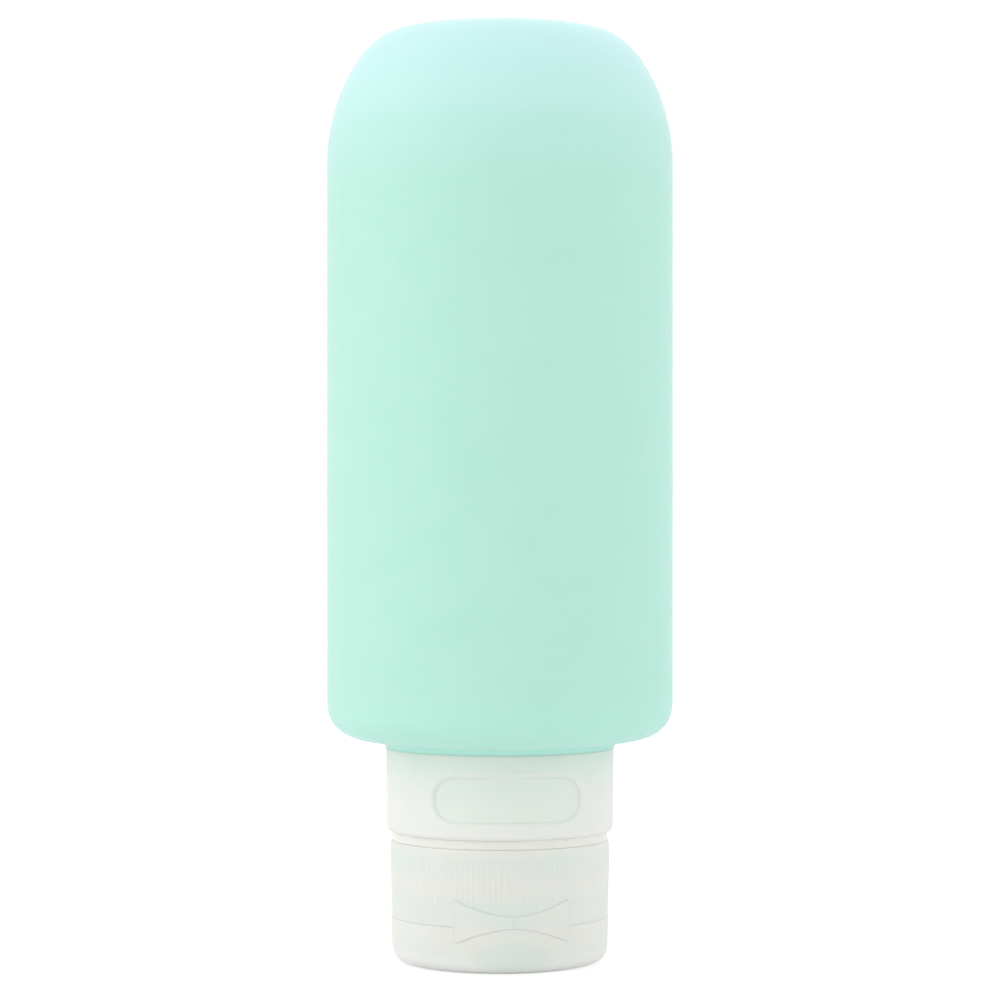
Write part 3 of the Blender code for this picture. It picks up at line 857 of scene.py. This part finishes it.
def slit(piece, azimuth):
    """Cuts the dome through with a thin blade along an azimuth."""
    mesh = bpy.data.meshes.new("blade")
    made = bmesh.new()
    blade_size = Vector((slit_length, slit_width, 2 * membrane)) * MM
    bmesh.ops.create_cube(made, size=1)
    bmesh.ops.scale(made, vec=blade_size, verts=made.verts)
    bmesh.ops.rotate(made, matrix=Matrix.Rotation(azimuth, 3, "Z"), verts=made.verts)
    bmesh.ops.translate(made, vec=(0, 0, (dome_top - membrane) * MM), verts=made.verts)
    made.to_mesh(mesh)
    made.free()
    blade = add_to_scene("blade", mesh)
    cutting = piece.modifiers.new("Slit", "BOOLEAN")
    cutting.operation = "DIFFERENCE"
    cutting.solver = "EXACT"
    cutting.object = blade
    keep_result(piece)
    bpy.data.objects.remove(blade)
    return settle(piece)


corners = quarter((0, dome_top), (dome_radius, valve_top), steps=dome_steps)
corners += [(valve_radius, valve_top, light_edge), (valve_radius, valve_bottom, light_edge)]
corners += [(dome_radius - membrane, valve_bottom, light_edge)]
corners += quarter((dome_radius - membrane, valve_top), (0, dome_top - membrane),
                   steps=dome_steps, upright=True)
slit_valve = turned("slit_valve", outline(corners, closed=False, gap=0.2), valve_sides,
                    clear_silicone)
for azimuth in (hinge_azimuth, hinge_azimuth + math.pi / 2):
    slit(slit_valve, azimuth)
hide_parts("drip_valve")
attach(slit_valve, "cap")

# Valve retainer
# The ring that holds the valve's flange on its seat. Clear polypropylene, moulded, and pressed
# into the nozzle.
retainer_inner = 3.2
retainer_outer = 4.6
retainer_top = 4.3
retainer_bottom = 3.75
valve_ring = turned("valve_ring", outline([
    (retainer_inner, retainer_top, light_edge), (retainer_outer, retainer_top, fine_edge),
    (retainer_outer, retainer_bottom, light_edge), (retainer_inner, retainer_bottom, light_edge),
]), ring_sides, clear_plastic)
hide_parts("valve_retainer")
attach(valve_ring, "cap")

# Flip lid
# The shallow cup that the bottle stands on, with a ring that shuts round the nozzle and a stub
# that backs the valve. Frosted polypropylene, moulded in one shot with the base and the hinge.
lid_height = 6.0
lid_radius = 14.12
lid_low_radius = 14.03
lid_edge = 0.07
lid_inner = 12.35
lid_skin = lid_inner + 1.2
lid_corner = 2.75
lid_corner_power = 2.7
lid_corner_steps = 14
lid_floor = 1.5
lid_floor_round = 0.8
lid_sides = 560
stub_radius = 2.3
stub_height = 4.8
stub_crown = 5.8
shut_ring_inner = 6.1
shut_ring_outer = 6.9
shut_ring_top = 4.8
nozzle_half = 6.4
nozzle_rise = 2.6
nozzle_level = 2.2
nozzle_blur = 0.5
core = quarter((0, stub_crown), (stub_radius, stub_height), steps=10)
core += [(stub_radius, lid_floor, round_edge), (shut_ring_inner, lid_floor, round_edge)]
core += [(shut_ring_inner, shut_ring_top, round_edge)]
core += [(shut_ring_outer, shut_ring_top, round_edge), (shut_ring_outer, lid_floor, round_edge)]
core += quarter((lid_inner - lid_floor_round, lid_floor),
                (lid_inner, lid_floor + lid_floor_round), steps=6)
core += [(lid_inner, lid_height, slim_edge), (rim_middle, lid_height)]
skin = [(rim_middle, lid_height)]
skin += quarter((lid_radius - lid_edge, lid_height), (lid_radius, lid_height - lid_edge), steps=4)
skin += quarter((lid_low_radius, lid_corner), (lid_low_radius - lid_corner, 0),
                lid_corner_power, lid_corner_steps, upright=True)
face = [skin[-1], (gate_radius, 0, fine_edge), (gate_radius, gate_depth, fine_edge)]
face += [(0, gate_depth)]
points = outline(core, closed=False, gap=1.0, steps=3)
points += outline(skin, closed=False, gap=skin_gap)[1:]
points += outline(face, closed=False, gap=3.0, steps=2)[1:]
lid_cup = turned("lid_cup", points, lid_sides, frosted_cap)
snap(lid_cup, pocket_inside, snap_reach, lid_skin)
reshape(lid_cup, hinge_pocket)
# Marks where the painted shade of the nozzle falls on the lid's front.
angle, radius, height = get_spots(lid_cup)
across, front = toward(angle, hinge_azimuth)
lens = 1 - np.hypot(across * radius / nozzle_half, (height - nozzle_level) / nozzle_rise)
mark(lid_cup, "nozzle_shade", smooth(lens / nozzle_blur) * (front > 0) * (radius > lid_inner))
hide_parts("flip_lid")
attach(lid_cup, "lid")

# Hinge wings
# The two wings of the butterfly hinge: thin plates that follow the round of the cap and bend
# along the parting line. They are moulded in one with the lid and the base.
wing_outer = 14.2
wing_inner = 13.12
wing_edge = 0.1
wing_crease = 50
wing_columns = 48
wing_rows = 24
rim_share = 0.08


def make_wing(name, side):
    """A closed plate on the cap's round, with rounded edges but for those in the middle."""
    shares = [0.0, *np.linspace(rim_share, 1 - rim_share, wing_rows - 1), 1.0]
    made = bmesh.new()
    layers = []
    for radius in (wing_outer, wing_inner):
        grid = []
        for column in range(wing_columns + 1):
            across = wing_half_span * column / wing_columns
            turn = math.asin(side * across / radius) + hinge_azimuth
            x, y = radius * math.sin(turn), -radius * math.cos(turn)
            line = []
            for share in shares:
                rise = wing_height(across) * (2 * share - 1) - wing_drop * (1 - share)
                line.append(made.verts.new((x * MM, y * MM, (hinge_level + rise) * MM)))
            grid.append(line)
        layers.append(grid)
        for column in range(wing_columns):
            for row in range(wing_rows):
                made.faces.new((grid[column][row], grid[column + 1][row],
                                grid[column + 1][row + 1], grid[column][row + 1]))
    outer, inner = layers
    rim = [(column, 0) for column in range(wing_columns)]
    rim += [(wing_columns, row) for row in range(wing_rows)]
    rim += [(column, wing_rows) for column in range(wing_columns, 0, -1)]
    rim += [(0, row) for row in range(wing_rows, 0, -1)]
    for here, after in zip(rim, rim[1:] + rim[:1]):
        made.faces.new((outer[here[0]][here[1]], outer[after[0]][after[1]],
                        inner[after[0]][after[1]], inner[here[0]][here[1]]))
    bmesh.ops.recalc_face_normals(made, faces=made.faces)
    middle = set(outer[0]) | set(inner[0])
    sharp = [edge for edge in made.edges
             if edge.calc_face_angle(0) > math.radians(wing_crease)
             and not middle.issuperset(edge.verts)]
    bmesh.ops.bevel(made, geom=sharp, offset=wing_edge * MM, segments=3, affect="EDGES",
                    profile=0.5)
    mesh = bpy.data.meshes.new(name)
    made.to_mesh(mesh)
    made.free()
    mesh.materials.append(frosted_cap)
    return settle(add_to_scene(name, mesh))


for name, side, hinge_node in (("wing_left", -1, "hinge_wing_left"),
                               ("wing_right", 1, "hinge_wing_right")):
    wing = make_wing(name, side)
    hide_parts(hinge_node)
    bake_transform(wing)

# Studio
# A pale floor under an even white sky, with large soft lamps on the left, the right and behind.
# The floor and the sky look white to the camera, and the floor keeps the bottle's shadow.
sky_light = 0.93
lamps = (((-0.7, -0.3, 0.4), 1.5), ((0.75, -0.1, 0.25), 0.65), ((0.05, 0.5, 0.75), 1.2))
lamp_size = 0.7
white = (1, 1, 1, 1)
floor_size = 12.0
floor_tone = 0.95
floor_glow = 1.1
glow_share = 0.72
camera_place = Vector((0.00014, -0.4109, 0.0599))
camera_lens = 113.17
camera_sensor = 36
nearest, farthest = 0.01, 20


def seen_rays(tree):
    """1 for rays that show a background: straight, mirrored or refracted."""
    path = node(tree, "ShaderNodeLightPath").outputs
    straight = maths(tree, "MAXIMUM", path["Is Camera Ray"], path["Is Glossy Ray"])
    return maths(tree, "MAXIMUM", straight, path["Is Transmission Ray"])


world = bpy.data.worlds.new("studio")
world.use_nodes = True
bpy.context.scene.world = world
tree = world.node_tree
tree.nodes.clear()
light = node(tree, "ShaderNodeBackground", {"Color": white, "Strength": sky_light})
backdrop = node(tree, "ShaderNodeBackground", {"Color": white, "Strength": 1.0})
sky = node(tree, "ShaderNodeMixShader",
           {0: seen_rays(tree), 1: light.outputs[0], 2: backdrop.outputs[0]})
node(tree, "ShaderNodeOutputWorld", {"Surface": sky.outputs[0]})

paper = bpy.data.materials.new("floor_paper")
paper.use_nodes = True
tree = paper.node_tree
tree.nodes.clear()
matt = node(tree, "ShaderNodeBsdfDiffuse", {"Color": (floor_tone, floor_tone, floor_tone, 1)})
glow = node(tree, "ShaderNodeEmission", {"Color": white, "Strength": floor_glow})
share = maths(tree, "MULTIPLY", seen_rays(tree), glow_share)
both = node(tree, "ShaderNodeMixShader", {0: share, 1: matt.outputs[0], 2: glow.outputs[0]})
node(tree, "ShaderNodeOutputMaterial", {"Surface": both.outputs[0]})
mesh = bpy.data.meshes.new("floor")
half = floor_size / 2
mesh.from_pydata([(-half, -half, 0), (half, -half, 0), (half, half, 0), (-half, half, 0)], [],
                 [(0, 1, 2, 3)])
mesh.materials.append(paper)
floor = add_to_scene("floor", mesh)

middle = Vector((0, 0, body_top * MM / 2))
for place, power in lamps:
    lamp = bpy.data.lights.new("softbox", "AREA")
    lamp.size = lamp_size
    lamp.energy = power
    softbox = add_to_scene("softbox", lamp)
    softbox.location = place
    softbox.rotation_euler = (middle - Vector(place)).to_track_quat("-Z", "Y").to_euler()

lens = bpy.data.cameras.new("camera")
lens.lens = camera_lens
lens.sensor_width = camera_sensor
lens.clip_start, lens.clip_end = nearest, farthest
camera = add_to_scene("camera", lens)
camera.location = camera_place
camera.rotation_euler = (math.radians(90), 0, 0)
bpy.context.scene.camera = camera
bpy.context.scene.view_settings.view_transform = "Standard"
